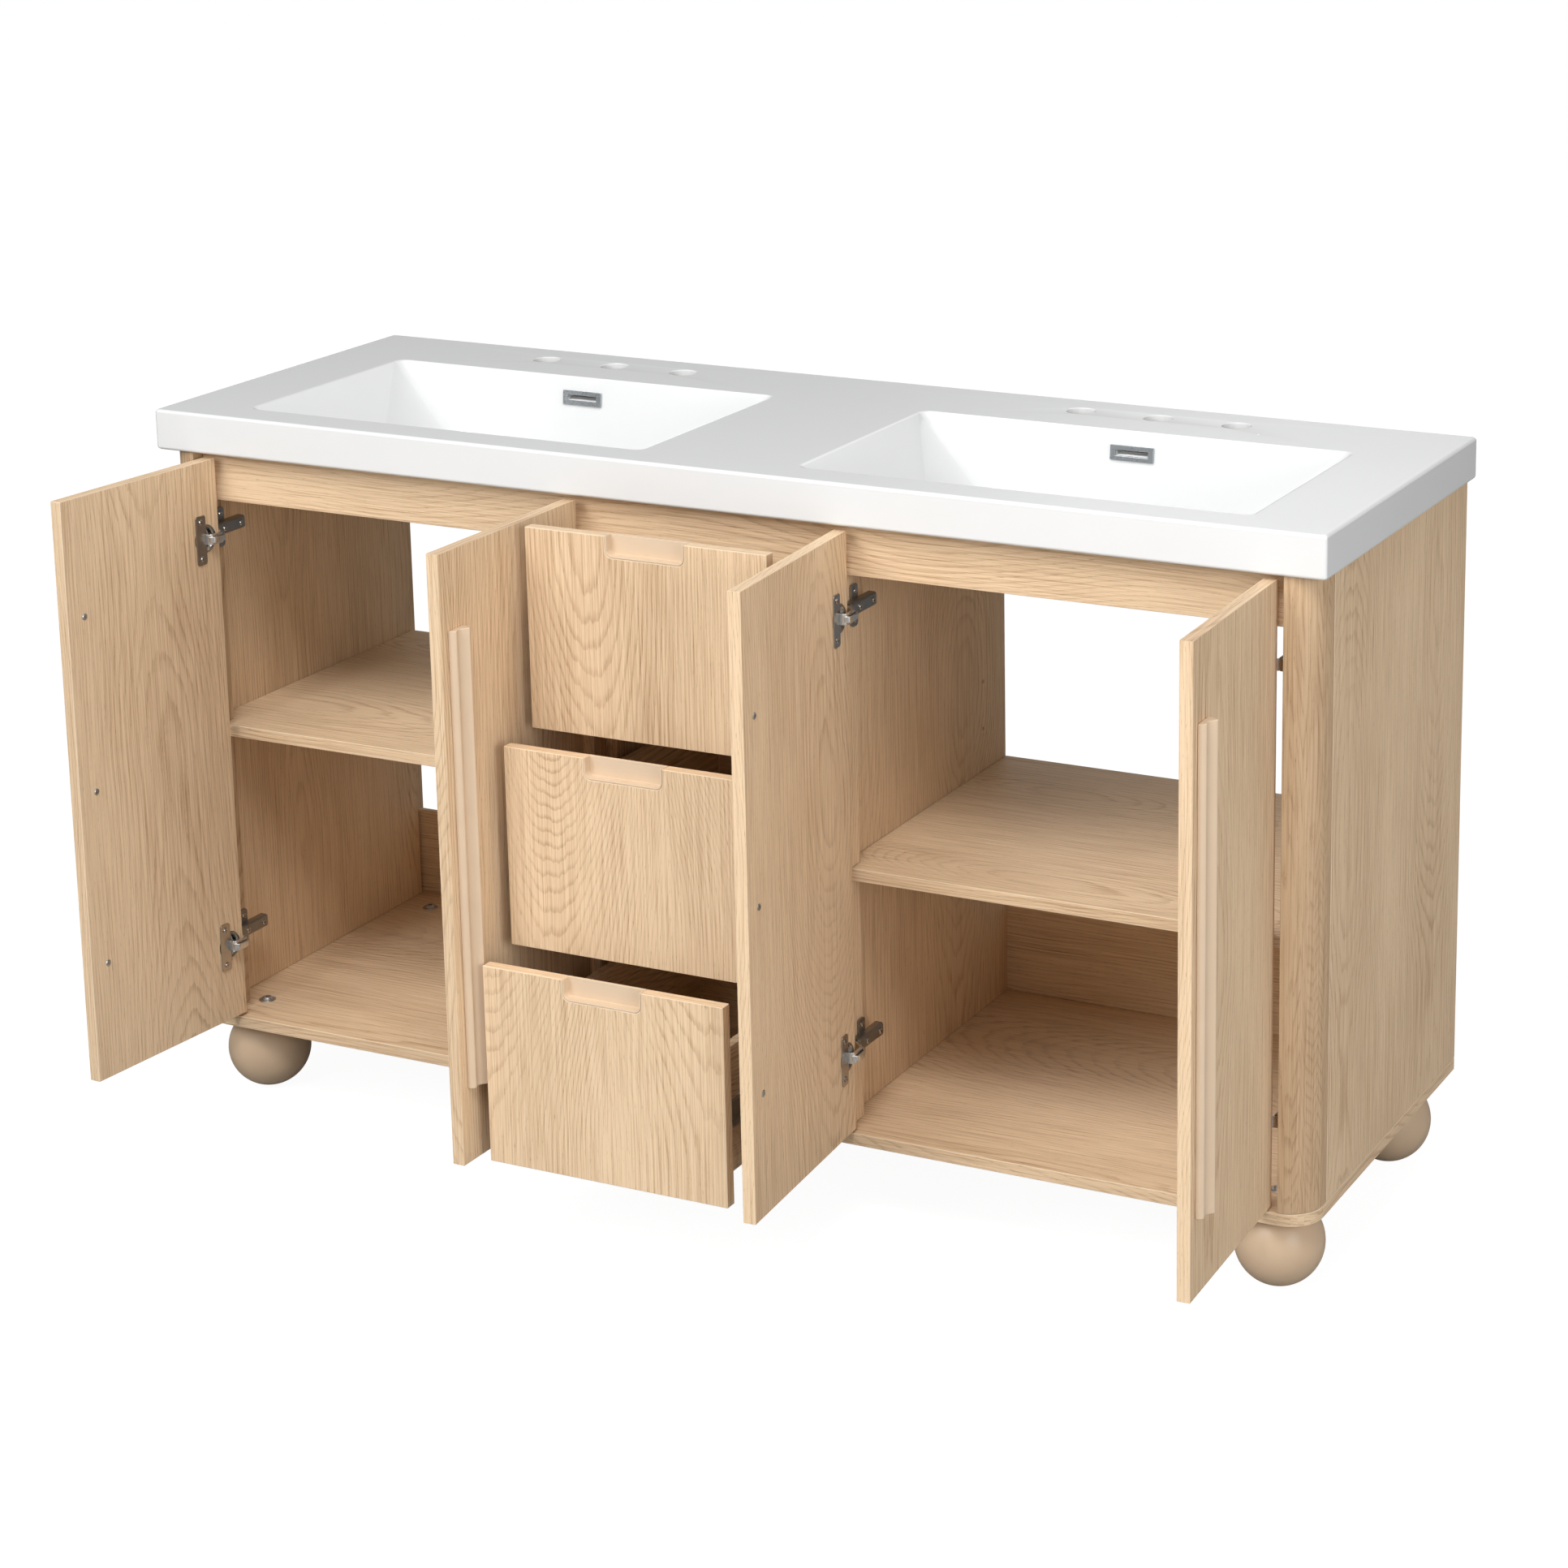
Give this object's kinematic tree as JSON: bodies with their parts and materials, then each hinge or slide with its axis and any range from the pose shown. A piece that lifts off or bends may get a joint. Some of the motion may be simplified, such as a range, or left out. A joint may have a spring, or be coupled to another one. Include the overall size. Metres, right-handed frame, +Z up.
{
  "type": "bathroom vanity cabinet",
  "caption": "Freestanding oak-laminate bathroom vanity on ball feet, with a white basin top, hinged doors, shelves and sliding drawers, all standing open.",
  "frame": {"origin": "centre of the footprint of the object as stored, with its doors and drawers open, on the floor", "axes": "+X to the cabinet's right as seen from the front, +Y back to the wall, +Z up"},
  "size_m": [1.524, 0.769, 0.892],
  "materials": {
    "cast_resin": "smooth satin gloss",
    "oak_laminate": "light oak wood-grain laminate, matte",
    "beige_paint": "smooth satin beige",
    "nickel_plated_steel": "nickel plated",
    "zinc_plated_steel": "zinc plated",
    "brushed_chrome": "satin chrome"
  },
  "bodies": {
    "cabinet": {"back_panel": "oak_laminate", "back_rail": "oak_laminate", "ball_foot_back_left": "beige_paint", "ball_foot_back_right": "beige_paint", "ball_foot_front_left": "beige_paint", "ball_foot_front_right": "beige_paint", "base_board": "oak_laminate", "corner_post_left": "oak_laminate", "corner_post_right": "oak_laminate", "divider_left": "oak_laminate", "divider_right": "oak_laminate", "divider_stile_left": "oak_laminate", "divider_stile_right": "oak_laminate", "drawer_1_slide_left": "zinc_plated_steel", "drawer_1_slide_right": "zinc_plated_steel", "drawer_2_slide_left": "zinc_plated_steel", "drawer_2_slide_right": "zinc_plated_steel", "drawer_3_slide_left": "zinc_plated_steel", "drawer_3_slide_right": "zinc_plated_steel", "front_rail": "oak_laminate", "hinge_arm_1_lower": "nickel_plated_steel", "hinge_arm_1_upper": "nickel_plated_steel", "hinge_arm_2_lower": "nickel_plated_steel", "hinge_arm_2_upper": "nickel_plated_steel", "hinge_arm_3_lower": "nickel_plated_steel", "hinge_arm_3_upper": "nickel_plated_steel", "hinge_arm_4_lower": "nickel_plated_steel", "hinge_arm_4_upper": "nickel_plated_steel", "overflow_cover_left": "brushed_chrome", "overflow_cover_right": "brushed_chrome", "shelf_left": "oak_laminate", "shelf_right": "oak_laminate", "side_panel_left": "oak_laminate", "side_panel_right": "oak_laminate", "vanity_top": "cast_resin"},
    "door_1_body": {"door_1": "oak_laminate", "door_handle_1": "beige_paint", "hinge_cup_1_lower": "nickel_plated_steel", "hinge_cup_1_upper": "nickel_plated_steel"},
    "door_2_body": {"door_2": "oak_laminate", "door_handle_2": "beige_paint", "hinge_cup_2_lower": "nickel_plated_steel", "hinge_cup_2_upper": "nickel_plated_steel"},
    "door_3_body": {"door_3": "oak_laminate", "door_handle_3": "beige_paint", "hinge_cup_3_lower": "nickel_plated_steel", "hinge_cup_3_upper": "nickel_plated_steel"},
    "door_4_body": {"door_4": "oak_laminate", "door_handle_4": "beige_paint", "hinge_cup_4_lower": "nickel_plated_steel", "hinge_cup_4_upper": "nickel_plated_steel"},
    "drawer_1_body": {"drawer_1_box": "oak_laminate", "drawer_1_front": "oak_laminate", "drawer_1_pull": "beige_paint"},
    "drawer_2_body": {"drawer_2_box": "oak_laminate", "drawer_2_front": "oak_laminate", "drawer_2_pull": "beige_paint"},
    "drawer_3_body": {"drawer_3_box": "oak_laminate", "drawer_3_front": "oak_laminate", "drawer_3_pull": "beige_paint"}
  },
  "joints": [
    {"name": "door_1_swing", "type": "hinge", "parent": "cabinet", "child": "door_1_body", "pos_m": [-0.70075, -0.1143, 0.475], "axis": [0, 0, -1], "range_deg": [-95.5, 14.5]},
    {"name": "door_2_swing", "type": "hinge", "parent": "cabinet", "child": "door_2_body", "pos_m": [-0.1753, -0.11005, 0.475], "axis": [0, 0, 1], "range_deg": [-89, 0]},
    {"name": "door_3_swing", "type": "hinge", "parent": "cabinet", "child": "door_3_body", "pos_m": [0.1753, -0.11005, 0.475], "axis": [0, 0, -1], "range_deg": [-86, 3]},
    {"name": "door_4_swing", "type": "hinge", "parent": "cabinet", "child": "door_4_body", "pos_m": [0.70075, -0.1143, 0.475], "axis": [0, 0, 1], "range_deg": [-92, 18]},
    {"name": "drawer_1_slide", "type": "slide", "parent": "cabinet", "child": "drawer_1_body", "axis": [0, -1, 0], "range_m": [-0.124, 0.226]},
    {"name": "drawer_2_slide", "type": "slide", "parent": "cabinet", "child": "drawer_2_body", "axis": [0, -1, 0], "range_m": [-0.184, 0.166]},
    {"name": "drawer_3_slide", "type": "slide", "parent": "cabinet", "child": "drawer_3_body", "axis": [0, -1, 0], "range_m": [-0.244, 0.106]}
  ]
}
